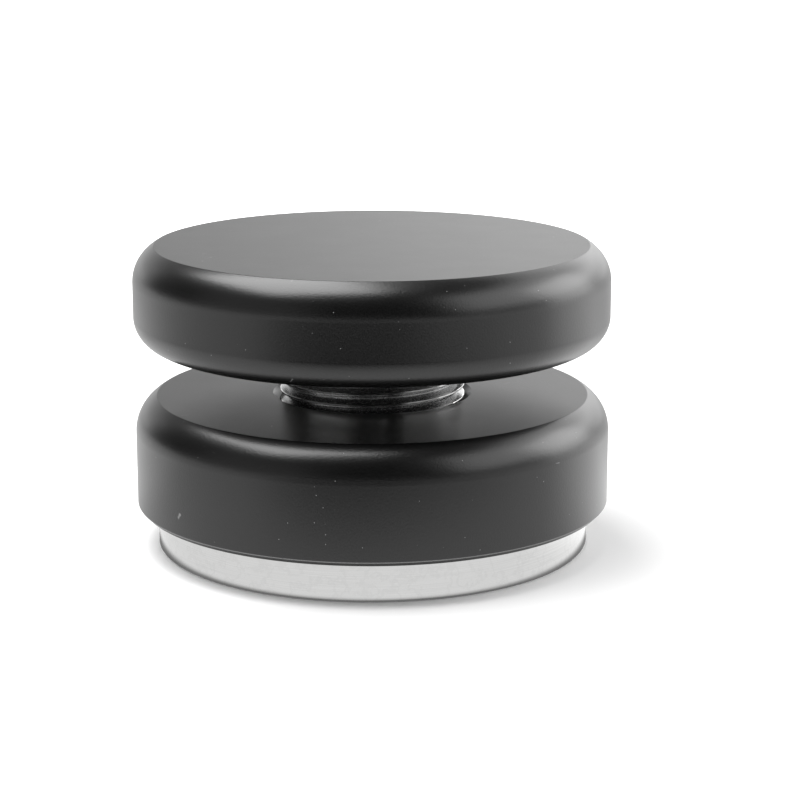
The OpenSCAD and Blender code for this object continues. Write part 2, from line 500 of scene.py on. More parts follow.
def smoothed(piece: bpy.types.Object, limit: float = math.radians(24)) -> bpy.types.Object:
    """Shades a piece smooth and keeps the edges that are sharper than the limit.

    Args:
        piece: The piece.
        limit: Angle between two faces above which their edge stays sharp.

    Returns:
        The piece.
    """
    sheet = bmesh.new()
    sheet.from_mesh(piece.data)
    for f in sheet.faces:
        f.smooth = True
    for e in sheet.edges:
        e.smooth = len(e.link_faces) == 2 and e.calc_face_angle(math.pi) < limit
    sheet.to_mesh(piece.data)
    sheet.free()
    return piece


# Finishes


class Recipe:
    """A node tree, built up a step at a time."""

    def __init__(self, tree: bpy.types.NodeTree) -> None:
        """Starts on a tree.

        Args:
            tree: The node tree of a material or of the world.
        """
        self.tree = tree

    def add(self, kind: str, inputs: dict[str | int, Value] | None = None, **settings: str) -> bpy.types.Node:
        """Adds a node.

        Args:
            kind: The node's type, without the leading ShaderNode.
            inputs: Its inputs by name or number: each a plain value, or a socket to link.
            settings: Its own settings.

        Returns:
            The node.
        """
        node = self.tree.nodes.new("ShaderNode" + kind)
        for name, value in settings.items():
            setattr(node, name, value)
        for name, value in (inputs or {}).items():
            self.feed(node.inputs[name], value)
        return node

    def feed(self, socket: Socket, value: Value) -> None:
        """Links a socket to another, or gives it a plain value.

        Args:
            socket: The input.
            value: A plain value, or the socket to link.
        """
        if isinstance(value, Socket):
            self.tree.links.new(value, socket)
        else:
            socket.default_value = value

    def math(self, operation: str, *values: Value) -> Socket:
        """Adds one step of arithmetic.

        Args:
            operation: Its name in a Math node.
            values: Its inputs, each a number or a socket.

        Returns:
            The result's socket.
        """
        return self.add("Math", dict(enumerate(values)), operation=operation).outputs[0]

    def place(self) -> Socket:
        """Returns the surface point in the piece's own space."""
        return self.add("TexCoord").outputs["Object"]

    def flat(self, where: Socket) -> Socket:
        """Returns a point moved down or up to level 0."""
        return self.add("VectorMath", {0: where, 1: (1.0, 1.0, 0.0)}, operation="MULTIPLY").outputs["Vector"]

    def reach(self, where: Socket) -> Socket:
        """Returns a point's distance from the axis."""
        return self.add("VectorMath", {0: self.flat(where)}, operation="LENGTH").outputs["Value"]

    def azimuth(self, where: Socket) -> Socket:
        """Returns a point's direction round the axis from the front, in radians, counted to the right."""
        x, y, _ = self.add("SeparateXYZ", {"Vector": where}).outputs
        return self.math("ARCTAN2", x, self.math("MULTIPLY", y, -1))

    def distance(self, where: Socket, point: tuple[float, float, float]) -> Socket:
        """Returns the distance between a socket's point and a fixed one."""
        return self.add("VectorMath", {0: where, 1: point}, operation="DISTANCE").outputs["Value"]

    def cells(self, where: Socket, size: float) -> bpy.types.Node:
        """Adds scattered points, about one to each cell of the given size, and returns their node."""
        return self.add("TexVoronoi", {"Vector": where, "Scale": 1 / size}, feature="F1")

    def noise(self, where: Socket, cell: float, detail: float = 2.0, rough: float = 0.5) -> Socket:
        """Adds a cloudy pattern.

        Args:
            where: The point's socket.
            cell: Size of one cell, in metres, or 1 where the point is already scaled.
            detail: How many finer layers it has.
            rough: How strong the finer layers are.

        Returns:
            The pattern's socket, from 0 to 1.
        """
        inputs = {"Vector": where, "Scale": 1 / cell, "Detail": detail, "Roughness": rough}
        return self.add("TexNoise", inputs).outputs["Fac"]

    def ridges(self, where: Socket, cell: float, detail: float = 2.0, rough: float = 0.5) -> Socket:
        """Adds winding lines.

        Args:
            where: The point's socket.
            cell: Size of the pattern's cells, in metres.
            detail: How many finer layers it has.
            rough: How strong the finer layers are.

        Returns:
            How far the point is off a line: 0 on it.
        """
        off = self.math("SUBTRACT", self.noise(where, cell, detail, rough), 0.5)
        return self.math("ABSOLUTE", off)

    def spread(self, noise: Socket, to_low: float, to_high: float) -> Socket:
        """Maps a noise onto a range, so that it uses the whole of it."""
        return self.between(noise, *NOISE_RANGE, to_low, to_high)

    def between(self, value: Socket, low: float, high: float, to_low: float, to_high: float) -> Socket:
        """Maps a range of values smoothly onto another.

        Args:
            value: The value's socket.
            low: Start of the range.
            high: End of the range.
            to_low: Result at its start.
            to_high: Result at its end.

        Returns:
            The result's socket.
        """
        inputs = {"Value": value, "From Min": low, "From Max": high, "To Min": to_low, "To Max": to_high}
        return self.add("MapRange", inputs, interpolation_type="SMOOTHSTEP").outputs[0]

    def tint(self, share: Value, low: Value, high: Value) -> Socket:
        """Blends two colours.

        Args:
            share: Share of the second colour, from 0 to 1.
            low: The first colour.
            high: The second colour.

        Returns:
            The colour's socket.
        """
        colours = dict(zip(MIX_COLOURS, (low, high)))
        return self.add("Mix", {"Factor": share, **colours}, data_type="RGBA").outputs[2]

    def relief(self, height: Socket, depth: float) -> Socket:
        """Adds fine relief.

        Args:
            height: The relief's height, from 0 to 1.
            depth: Its full depth in metres.

        Returns:
            The normal's socket.
        """
        return self.add("Bump", {"Height": height, "Distance": depth, "Strength": 1.0}).outputs[0]


class Skin(Recipe):
    """A material built on one main shader."""

    def __init__(self, name: str) -> None:
        """Starts a material.

        Args:
            name: The material's name.
        """
        self.material = bpy.data.materials.new(name)
        self.material.use_nodes = True
        super().__init__(self.material.node_tree)
        self.shader = self.tree.nodes["Principled BSDF"]

    def even(self, **values: float | Colour) -> None:
        """Sets sockets of the shader that are the same all over, named with underscores for spaces."""
        for name, value in values.items():
            self.shader.inputs[name.replace("_", " ")].default_value = value

    def vary(self, **values: Socket) -> None:
        """Links sockets of the shader that change over the surface, named with underscores for spaces."""
        for name, value in values.items():
            self.feed(self.shader.inputs[name.replace("_", " ")], value)


def grey(value: float) -> Colour:
    """Returns a neutral colour."""
    return (value, value, value, 1.0)


def dimmed(colour: Colour, share: float) -> Colour:
    """Returns a colour with its brightness brought down to a share."""
    return (colour[0] * share, colour[1] * share, colour[2] * share, 1.0)


@dataclass(frozen=True)
class Finish:
    """A surface finish: the record's slot, and the material that a piece gets."""

    name: str
    slot: Slot

    def material(self) -> bpy.types.Material:
        """Returns the finish's material, made when it is first asked for."""
        return bpy.data.materials.get(self.name) or self.mix()

    def mix(self) -> bpy.types.Material:
        """Makes the material.

        Returns:
            The material.
        """
        raise NotImplementedError

    def dress(self, piece: bpy.types.Object) -> None:
        """Puts the finish on a piece.

        Args:
            piece: The piece, which takes one material all over.
        """
        piece.data.materials.clear()
        piece.data.materials.append(self.material())


@dataclass(frozen=True)
class BlackAnodised(Finish):
    """Bead-blasted aluminium, dyed black in a clear hard oxide, with a little dust and lint on it.

    The edges it lists, each a radius and a level, are painted a lighter grey: worn dye, and a painted edge
    highlight.
    """

    name: str = "black_anodised_satin"
    slot: Slot = Slot.ANODISED
    dye: float = 0.0022
    roughness: float = 0.3
    oxide_ior: float = 1.65
    cloud: float = 5.0 * MM
    cloud_dye: Point = (0.8, 1.25)
    cloud_roughness: float = 0.004
    grain: float = 0.26 * MM
    grain_depth: float = 0.013 * MM
    dust: float = 0.55
    dust_cell: float = 1.15 * MM
    dust_size: float = 0.06
    dust_free: float = 0.52
    dust_step: float = 0.01
    dust_roughness: float = 0.1
    hair_wave: float = 2.4 * MM
    hair_width: float = 0.016
    hair_cell: float = 5.2 * MM
    hair_length: Point = (0.07, 0.12)
    hair_tone: float = 0.35
    # Edges painted a lighter grey, for worn dye and as a painted edge highlight, with that grey and the width
    # of the line.
    worn_and_highlit_edges: tuple[Point, ...] = ()
    worn_and_highlit_tone: float = 0.13
    worn_and_highlit_width: Point = (0.052 * MM, 0.13 * MM)

    def mix(self) -> bpy.types.Material:
        """Makes the satin black, its blasted grain, its dust, and its edges painted lighter for wear and as a
        painted highlight.

        Returns:
            The material.
        """
        r = Skin(self.name)
        where = r.place()
        cloud = r.noise(where, self.cloud, detail=3.0)
        lint = r.math("MAXIMUM", self._dust(r, where), self._hairs(r, where))
        dyed = r.tint(cloud, *[grey(self.dye * share) for share in self.cloud_dye])
        dusty = r.tint(lint, dyed, grey(self.dust))
        dull = r.spread(cloud, self.roughness - self.cloud_roughness, self.roughness + self.cloud_roughness)
        # Listed edges get a lighter grey: worn dye, and a painted edge highlight.
        r.vary(Base_Color=r.tint(self._worn_and_highlit(r, where), dusty, grey(self.worn_and_highlit_tone)))
        r.vary(Roughness=r.math("ADD", dull, r.math("MULTIPLY", lint, self.dust_roughness)))
        r.vary(Normal=r.relief(r.noise(where, self.grain, detail=1.5, rough=0.6), self.grain_depth))
        r.even(IOR=self.oxide_ior)
        return r.material

    def _dust(self, r: Recipe, where: Socket) -> Socket:
        """Scatters fine specks, and leaves some cells of the pattern clean.

        Args:
            r: The material's recipe.
            where: Socket of the surface point.

        Returns:
            The specks' socket, 1 at the middle of a speck.
        """
        cell = r.cells(where, self.dust_cell)
        draw = r.add("SeparateColor", {"Color": cell.outputs["Color"]}).outputs[0]
        few = r.between(draw, self.dust_free, self.dust_free + self.dust_step, 0, 1)
        return r.math("MULTIPLY", r.between(cell.outputs["Distance"], 0.0, self.dust_size, 1, 0), few)

    def _hairs(self, r: Recipe, where: Socket) -> Socket:
        """Scatters a few short curved hairs: pieces of winding lines, cut out round scattered points.

        Args:
            r: The material's recipe.
            where: Socket of the surface point.

        Returns:
            The hairs' socket, at its highest on the middle of a hair.
        """
        line = r.between(r.ridges(where, self.hair_wave, detail=0.0), 0.0, self.hair_width, 1, 0)
        away = r.cells(where, self.hair_cell).outputs["Distance"]
        return r.math("MULTIPLY", line, r.between(away, *self.hair_length, self.hair_tone, 0))

    def _worn_and_highlit(self, r: Recipe, where: Socket) -> Value:
        """Marks the edges painted lighter: dye rubbed thin, and a painted edge highlight.

        Args:
            r: The material's recipe.
            where: Socket of the surface point.

        Returns:
            The share of the lighter grey, or 0 away from these edges.
        """
        share: Value = 0.0
        level = r.add("SeparateXYZ", {"Vector": where}).outputs["Z"]
        at = r.add("CombineXYZ", {"X": r.reach(where), "Y": level}).outputs[0]
        for edge in self.worn_and_highlit_edges:
            off = r.distance(at, (*edge, 0.0))
            share = r.math("MAXIMUM", r.between(off, *self.worn_and_highlit_width, 1, 0), share)
        return share


@dataclass(frozen=True)
class TurnedSteel(Finish):
    """Stainless steel with fine turning lines round the axis, and swirls where a cloth has dried on it."""

    name: str = "stainless_turned"
    slot: Slot = Slot.STEEL
    colour: Colour = (0.665, 0.665, 0.66, 1.0)
    shaded: float = 0.8
    roughness: float = 0.12
    line: float = 0.09 * MM
    line_length: float = 14.0 * MM
    line_depth: float = 0.0005 * MM
    line_tone: float = 0.55
    line_roughness: float = 0.04
    stain: float = 6.0 * MM
    stain_roughness: float = 0.02
    swirl: float = 3.2 * MM
    swirl_width: float = 0.05
    swirl_tone: float = 0.75

    def mix(self) -> bpy.types.Material:
        """Makes the steel, with lines that run round the axis on the sides and the faces alike.

        Returns:
            The material.
        """
        r = Skin(self.name)
        where = r.place()
        x, _, z = r.add("SeparateXYZ", {"Vector": where}).outputs
        sizes = {"X": (r.reach(where), self.line), "Y": (z, self.line), "Z": (x, self.line_length)}
        drawn = {axis: r.math("MULTIPLY", value, 1 / size) for axis, (value, size) in sizes.items()}
        lines = r.noise(r.add("CombineXYZ", drawn).outputs[0], 1.0, detail=3.0, rough=0.65)
        stain = r.noise(where, self.stain)
        off = r.ridges(where, self.swirl, detail=3.0, rough=0.6)
        swirl = r.between(off, 0.0, self.swirl_width, self.swirl_tone, 1)
        bright = r.math("MULTIPLY", swirl, r.spread(lines, self.line_tone, 1))
        r.vary(Base_Color=r.tint(bright, dimmed(self.colour, self.shaded), self.colour))
        fine = r.spread(lines, -self.line_roughness, self.line_roughness)
        broad = r.spread(stain, -self.stain_roughness, self.stain_roughness)
        r.vary(Roughness=r.math("ADD", r.math("ADD", fine, broad), self.roughness))
        r.vary(Normal=r.relief(lines, self.line_depth))
        r.even(Metallic=1.0)
        return r.material


@dataclass(frozen=True)
class PolishedThread(Finish):
    """Steel thread: bright crests, flanks darkened with painted shade, and faint scuffs along its turns.

    The pairs flank_tone and flank_dull say how far below the crests the flanks' colour and roughness
    are fully reached, and how far below them they end.
    """

    name: str = "stainless_thread_bright"
    slot: Slot = Slot.THREAD
    colour: Colour = (0.78, 0.78, 0.775, 1.0)
    shaded: float = 0.82
    roughness: float = 0.085
    # Flank colour: painted shade in the thread's grooves.
    flank: Colour = grey(0.38)
    flank_roughness: float = 0.22
    flank_tone: Point = (0.25 * MM, 0.07 * MM)
    flank_dull: Point = (0.14 * MM, 0.05 * MM)
    scuff: float = 0.06 * MM
    scuff_length: float = 0.5 * MM
    scuff_depth: float = 0.0015 * MM
    scuff_range: Point = (0.3, 0.75)
    scuff_roughness: Point = (-0.03, 0.07)

    def mix(self) -> bpy.types.Material:
        """Makes the bright steel, the painted shade on its flanks and its scuffs.

        Returns:
            The material.
        """
        r = Skin(self.name)
        where = r.place()
        stretch = self.scuff / self.scuff_length
        drawn = r.add("Mapping", {"Vector": where, "Scale": (stretch, stretch, 1.0)}).outputs[0]
        scuffs = r.noise(drawn, self.scuff, rough=0.6)
        reach = r.reach(where)
        # Share out of the flanks' painted shade: 0 down the flanks, 1 on the crests.
        out_of_painted_shade = r.between(reach, *[FIT.crest - below for below in self.flank_tone], 0.0, 1.0)
        crest = r.tint(scuffs, dimmed(self.colour, self.shaded), self.colour)
        r.vary(Base_Color=r.tint(out_of_painted_shade, self.flank, crest))
        ends = [FIT.crest - below for below in self.flank_dull]
        dull = r.between(reach, *ends, self.flank_roughness, self.roughness)
        r.vary(Roughness=r.math("ADD", dull, r.between(scuffs, *self.scuff_range, *self.scuff_roughness)))
        r.vary(Normal=r.relief(scuffs, self.scuff_depth))
        r.even(Metallic=1.0)
        return r.material


@dataclass(frozen=True)
class FastenerFinish(Finish):
    """A small steel fastener's coating, slightly uneven."""

    name: str = "fastener_black_oxide"
    slot: Slot = Slot.DARK_FASTENER
    light: Colour = (0.06, 0.06, 0.065, 1.0)
    dark: Colour = (0.025, 0.025, 0.028, 1.0)
    roughness: float = 0.38
    uneven: float = 0.06
    blot: float = 0.9 * MM
    skin: float = 0.08 * MM
    skin_depth: float = 0.002 * MM

    def mix(self) -> bpy.types.Material:
        """Makes the coating.

        Returns:
            The material.
        """
        r = Skin(self.name)
        where = r.place()
        blot = r.noise(where, self.blot, detail=4.0, rough=0.6)
        r.vary(Base_Color=r.tint(blot, self.dark, self.light))
        r.vary(Roughness=r.spread(blot, self.roughness - self.uneven, self.roughness + self.uneven))
        r.vary(Normal=r.relief(r.noise(where, self.skin, detail=1.0), self.skin_depth))
        r.even(Metallic=1.0)
        return r.material


@dataclass(frozen=True)
class BlackRubber(Finish):
    """Moulded nitrile rubber, matt with a slight bloom."""

    name: str = "nitrile_black"
    slot: Slot = Slot.RUBBER
    tones: Point = (0.012, 0.028)
    roughness: Point = (0.5, 0.63)
    rubber_ior: float = 1.52
    bloom: float = 1.6 * MM
    sheen: float = 0.08
    skin: float = 0.1 * MM
    skin_depth: float = 0.004 * MM

    def mix(self) -> bpy.types.Material:
        """Makes the rubber.

        Returns:
            The material.
        """
        r = Skin(self.name)
        where = r.place()
        bloom = r.noise(where, self.bloom, detail=3.0, rough=0.6)
        r.vary(Base_Color=r.tint(bloom, *map(grey, self.tones)))
        r.vary(Roughness=r.spread(bloom, *self.roughness))
        r.vary(Normal=r.relief(r.noise(where, self.skin), self.skin_depth))
        r.even(IOR=self.rubber_ior, Sheen_Weight=self.sheen)
        return r.material


BLACK_ANODISED = BlackAnodised()
TURNED_STEEL = TurnedSteel()
BRIGHT_THREAD = PolishedThread()
BLACK_OXIDE = FastenerFinish()
ZINC_PLATE = FastenerFinish(
    "fastener_zinc",
    Slot.PLATED_FASTENER,
    light=(0.62, 0.64, 0.67, 1.0),
    dark=(0.45, 0.46, 0.48, 1.0),
    roughness=0.3,
)
GROUND_STEEL = FastenerFinish(
    "dowel_ground_steel",
    Slot.PLATED_FASTENER,
    light=(0.6, 0.6, 0.61, 1.0),
    dark=(0.5, 0.5, 0.51, 1.0),
    roughness=0.2,
)
RUBBER = BlackRubber()


# Sizes that several pieces share


@dataclass(frozen=True)
class Box:
    """A node's box, read as a turned piece: its outer radius, lowest and highest level."""

    r: float
    low: float
    high: float

    @classmethod
    def of(cls, node: Node) -> "Box":
        """Reads a node's box.

        Args:
            node: The node.

        Returns:
            Its outer radius and levels.
        """
        low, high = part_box(node.value)
        return cls(high.x, low.z, high.z)

    @property
    def height(self) -> float:
        """Height of the node."""
        return self.high - self.low


@dataclass(frozen=True)
class Fit:
    """The stem's thread and the clearances between the pieces, shared by all that mate.

    The two heights are those of a metric thread, in pitches.
    """

    pitch: float = 1.5 * MM
    screw_height: float = 0.6134
    nut_height: float = 0.5413
    stem_crest_flat: float = 0.165
    play: float = 0.15 * MM
    clear: float = 0.1 * MM
    slip: float = 0.05 * MM
    ring_gap: float = 0.07 * MM
    ring_side: float = 0.12 * MM
    broken: float = 0.06 * MM

    @property
    def crest(self) -> float:
        """Radius of the stem thread's crests."""
        return Box.of(Node.STEM).r

    @property
    def root(self) -> float:
        """Radius of its roots."""
        return self.crest - self.screw_height * self.pitch

    @property
    def nut(self) -> float:
        """Inner radius of the threads in the discs."""
        return self.crest - self.nut_height * self.pitch

    @property
    def tap(self) -> float:
        """Outer radius of the threads in the discs."""
        return self.crest + self.play

    @property
    def bore(self) -> float:
        """Radius of the plain bores that the thread passes."""
        return self.tap + self.clear

    def stem_form(self) -> ThreadForm:
        """Returns the form of the stem's thread."""
        return ThreadForm(self.pitch, self.crest, self.root, crest_flat=self.stem_crest_flat)

    def tap_form(self) -> ThreadForm:
        """Returns the form of the thread that the discs are tapped with."""
        return ThreadForm(self.pitch, self.tap, self.root)


FIT = Fit()


@dataclass(frozen=True)
class RoundedEdge:
    """The discs' rounded edge: an arc that leaves the side at a slight angle and meets the flat at a crease.

    The arc stops short of the flat by the angle called short, and runs on straight from there.
    """

    inset: float = 2.9 * MM
    height: float = 4.6 * MM
    lean: float = math.radians(1.5)
    short: float = math.radians(2.0)
    crease: float = 0.3 * MM
    steps: int = 40

    @property
    def full(self) -> float:
        """Angle of the arc's far end, where it would reach the flat."""
        return 2 * math.atan(self.inset / self.height) - self.lean

    @property
    def end(self) -> float:
        """Angle where the arc stops."""
        return self.full - self.short

    @property
    def radius(self) -> float:
        """Radius of the arc."""
        return self.height / (math.sin(self.full) - math.sin(self.lean))

    def rise(self, outline: Outline, r: float, level: float) -> None:
        """Adds an upper edge, from the side up to the flat.

        Args:
            outline: The outline, which has reached the disc's side.
            r: Radius of the side.
            level: Level of the flat.
        """
        centre = self._centre(r, level - self.height, up=True)
        outline.arc(centre, self.radius, self.lean, self.end, self.steps)
        last = outline.corners[-1]
        outline.to(last.r - (level - last.z) * math.tan(self.end), level, self.crease)

    def sink(self, outline: Outline, r: float, level: float) -> None:
        """Adds a lower edge, from the flat up to the side.

        Args:
            outline: The outline, which runs outwards along the flat.
            r: Radius of the side.
            level: Level of the flat.
        """
        centre = self._centre(r, level + self.height, up=False)
        first_r = centre[0] + self.radius * math.cos(self.end)
        first_z = centre[1] - self.radius * math.sin(self.end)
        outline.to(first_r - (first_z - level) * math.tan(self.end), level, self.crease)
        outline.arc(centre, self.radius, -self.end, -self.lean, self.steps)

    def _centre(self, r: float, start: float, up: bool) -> Point:
        """Works out the arc's centre.

        Args:
            r: Radius of the side.
            start: Level where the arc leaves the side.
            up: Whether the edge is an upper one.

        Returns:
            The centre's radius and level.
        """
        drop = self.radius * math.sin(self.lean)
        return r - self.radius * math.cos(self.lean), start - drop if up else start + drop


# The pieces


@dataclass
class Piece:
    """What every made piece shares: its name, the node it stands for, its body and its finish."""

    name: str
    node: Node
    body: Body
    finish: Finish

    def shape(self) -> bpy.types.Object:
        """Makes the piece's mesh."""
        raise NotImplementedError

    def dressing(self) -> Finish:
        """Returns the finish that the piece gets."""
        return self.finish

    def build(self) -> bpy.types.Object:
        """Makes the piece, dresses it and hangs it on its body.

        Returns:
            The finished piece.
        """
        piece = smoothed(self.shape())
        self.dressing().dress(piece)
        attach(piece, self.body.value)
        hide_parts(self.node.value)
        LOG.info("%s: %d faces", piece.name, len(piece.data.polygons))
        return piece


@dataclass
class TampingBase(Piece):
    """The stainless disc: a bright land round its foot, a relief above it and the stem's seat in its top."""

    name: str = "base_turned"
    node: Node = Node.BASE
    body: Body = Body.BASE
    finish: Finish = TURNED_STEEL
    land: float = 5.2 * MM
    relief: float = 0.35 * MM
    face_chamfer: float = 0.3 * MM
    top_chamfer: float = 0.6 * MM
    blind: float = 0.5 * MM
    side_feed: float = 0.2 * MM
    face_feed: float = 0.42 * MM
    mark: float = 0.0016 * MM
    face_seed: int = 3
    side_seed: int = 5
    pip: tuple[Point, ...] = ((0.0, 0.06 * MM), (0.25 * MM, 0.05 * MM), (0.5 * MM, 0.0))
    tap_steps: int = 48

    def shape(self) -> bpy.types.Object:
        """Turns the disc, drills it for the bolt and the dowels, and taps the bolt's hole.

        Returns:
            The base.
        """
        box, stem, bolt = Box.of(Node.BASE), Box.of(Node.STEM), Box.of(Node.BOLT)
        dowels, screw = DowelPair(), CapScrew()
        broken = FIT.broken
        line = Outline()
        for r, z in self.pip:
            line.to(r, z)
        line.tool_marks((box.r - self.face_chamfer - broken, 0), self.face_feed, self.mark, self.face_seed)
        line.to(box.r - self.face_chamfer, 0, broken / 2).to(box.r, self.face_chamfer, broken / 2)
        line.to(box.r, self.face_chamfer + broken)
        line.tool_marks((box.r, self.land - broken), self.side_feed, self.mark, self.side_seed)
        top = box.r - self.relief
        line.to(box.r, self.land, broken / 2).to(top, self.land)
        line.to(top, box.high - self.top_chamfer, broken).to(top - self.top_chamfer, box.high, broken)
        seat = ThreadedStem().spigot + FIT.slip
        hole = screw.form().root + FIT.slip * 2
        line.to(seat, box.high, broken).to(seat, stem.low).to(hole, stem.low, broken)
        line.to(hole, bolt.low - self.blind).to(0, bolt.low - self.blind)
        base = Lathe().turn(self.name, line)
        low, high = bolt.low - self.blind / 2, stem.low + 2 * screw.pitch
        worked(base, Screw(screw.tap_form(), low, high, self.tap_steps).cut("tap"), Cut.REMOVE)
        for drill in dowels.holes(dowels.box.low - self.blind, box.high):
            worked(base, drill, Cut.REMOVE)
        return base


@dataclass
class ThreadedStem(Piece):
    """The hollow stem: a spigot and a plain foot below the thread that both discs turn on."""

    name: str = "stem_thread"
    node: Node = Node.STEM
    body: Body = Body.BASE
    finish: Finish = BRIGHT_THREAD
    spigot: float = 10.0 * MM
    foot: float = 1.2 * MM
    foot_chamfer: float = 0.4 * MM
    bore: float = 8.0 * MM
    segments: int = 144

    def shape(self) -> bpy.types.Object:
        """Cuts the thread, joins it to its foot and bores both out.

        Returns:
            The stem.
        """
        box, base, washer = Box.of(Node.STEM), Box.of(Node.BASE), Box.of(Node.WASHER)
        dowels, lathe = DowelPair(), Lathe(self.segments)
        shoulder, foot_z = box.r - self.foot_chamfer, base.high + self.foot
        broken = FIT.broken
        line = Outline().to(0, box.low).to(self.spigot, box.low, broken * 2).to(self.spigot, base.high)
        line.to(shoulder, base.high, broken).to(shoulder, foot_z, broken * 2).to(0, foot_z)
        stem = lathe.turn(self.name, line)
        worked(stem, Screw(FIT.stem_form(), base.high + self.foot / 2, box.high).cut("thread"), Cut.JOIN)
        hole, floor, mouth = CapScrew().shank_r + 2 * FIT.slip, washer.low, 3 * broken
        inside = Outline().to(0, box.low - OVERRUN).to(hole, box.low - OVERRUN).to(hole, floor)
        inside.to(self.bore, floor, broken).to(self.bore, box.high - mouth)
        inside.to(self.bore + 2 * mouth, box.high + mouth).to(0, box.high + mouth)
        worked(stem, lathe.turn("bore", inside), Cut.REMOVE)
        for drill in dowels.holes(box.low - OVERRUN, dowels.box.high):
            worked(stem, drill, Cut.REMOVE)
        return stem


@dataclass
class CapScrew(Piece):
    """The socket head screw that holds the stem down: knurled head, hexagon socket and threaded shank.

    The socket's drilled bottom has its depth and radius as shares of the hexagon's corner radius.
    """

    name: str = "stem_cap_screw"
    node: Node = Node.BOLT
    body: Body = Body.BASE
    finish: Finish = BLACK_OXIDE
    pitch: float = 1.25 * MM
    shank_r: float = 4.0 * MM
    neck: float = 1.6 * MM
    chamfer: float = 0.4 * MM
    socket_sides: int = 6
    socket_flats: float = 6.0 * MM
    socket_depth: float = 4.0 * MM
    drill_point: float = 0.3
    drill_r: float = 0.86
    mouth: float = 0.35 * MM
    knurls: int = 60
    knurl_steps: int = 4
    knurl_depth: float = 0.16 * MM
    thread_steps: int = 72

    def form(self) -> ThreadForm:
        """Returns the form of the screw's thread."""
        return ThreadForm(self.pitch, self.shank_r, self.shank_r - FIT.screw_height * self.pitch)

    def tap_form(self) -> ThreadForm:
        """Returns the form of the thread in the base that the screw turns in."""
        return ThreadForm(self.pitch, self.shank_r + FIT.slip, self.form().root)

    def shape(self) -> bpy.types.Object:
        """Makes the screw.

        Returns:
            The screw.
        """
        box, head_z = Box.of(Node.BOLT), Box.of(Node.WASHER).high
        broken, root = FIT.broken, self.form().root
        line = Outline().to(0, box.low).to(root - self.chamfer, box.low, broken)
        line.to(root, box.low + self.chamfer).to(root, head_z - self.neck)
        line.to(self.shank_r, head_z - self.neck + self.chamfer / 2, broken)
        line.to(self.shank_r, head_z).to(box.r, head_z, broken * 2)
        line.to(box.r, box.high - self.chamfer, broken).to(box.r - self.chamfer, box.high, broken)
        lathe = Lathe(self.knurls * self.knurl_steps)
        screw = lathe.turn(self.name, line.to(0, box.high))
        self._knurl(screw, head_z, box)
        low, high = box.low + self.chamfer, head_z - self.neck / 2
        worked(screw, Screw(self.form(), low, high, self.thread_steps).cut("thread"), Cut.JOIN)
        key = self.socket_flats / 2 / math.cos(math.pi / self.socket_sides)
        floor, over = box.high - self.socket_depth, box.high + OVERRUN
        socket = Outline(guard=OVERRUN).to(0, floor - self.drill_point * key).to(key * self.drill_r, floor)
        socket.to(key, floor).to(key, over).to(0, over)
        worked(screw, Lathe(self.socket_sides).turn("socket", socket), Cut.REMOVE)
        mouth_z = box.high - self.mouth
        mouth = Outline().to(0, mouth_z).to(key - self.mouth, mouth_z).to(key + OVERRUN, over).to(0, over)
        return worked(screw, lathe.turn("mouth", mouth), Cut.REMOVE)

    def _knurl(self, screw: bpy.types.Object, head_z: float, box: Box) -> None:
        """Presses straight knurls into the head's side.

        Args:
            screw: The turned screw.
            head_z: Level of the head's underside.
            box: The screw's box.
        """
        run_in, run_out = self.chamfer, 2 * self.chamfer
        close = 0.2 * FIT.broken
        for v in screw.data.vertices:
            r = math.hypot(v.co.x, v.co.y)
            if abs(r - box.r) < close and head_z < v.co.z < box.high - self.chamfer:
                full = min(1.0, (v.co.z - head_z) / run_in, (box.high - v.co.z) / run_out)
                wave = 0.5 - 0.5 * math.cos(self.knurls * math.atan2(v.co.y, v.co.x))
                keep = 1 - wave * full * self.knurl_depth / r
                v.co.x, v.co.y = v.co.x * keep, v.co.y * keep


@dataclass
class LockWasher(Piece):
    """The split spring washer under the screw's head."""

    name: str = "stem_lock_washer"
    node: Node = Node.WASHER
    body: Body = Body.BASE
    finish: Finish = ZINC_PLATE
    split: float = 1.0 * MM
    broken: float = 0.2 * MM
    segments: int = 144

    def shape(self) -> bpy.types.Object:
        """Turns the washer and splits it.

        Returns:
            The washer.
        """
        box = Box.of(Node.WASHER)
        inner = CapScrew().shank_r + 2 * FIT.slip
        line = Outline().to(inner, box.low, self.broken).to(box.r, box.low, self.broken)
        line.to(box.r, box.high, self.broken).to(inner, box.high, self.broken)
        washer = Lathe(self.segments).turn(self.name, line, closed=True)
        long = 1.2 * box.r  # past the rim
        sheet = bmesh.new()
        bmesh.ops.create_cube(sheet, size=1.0)
        bmesh.ops.scale(sheet, vec=(long, self.split, box.height * 2), verts=sheet.verts)
        bmesh.ops.translate(sheet, vec=(long / 2, 0, box.low + box.height / 2), verts=sheet.verts)
        return worked(washer, placed("slit", sheet), Cut.REMOVE)


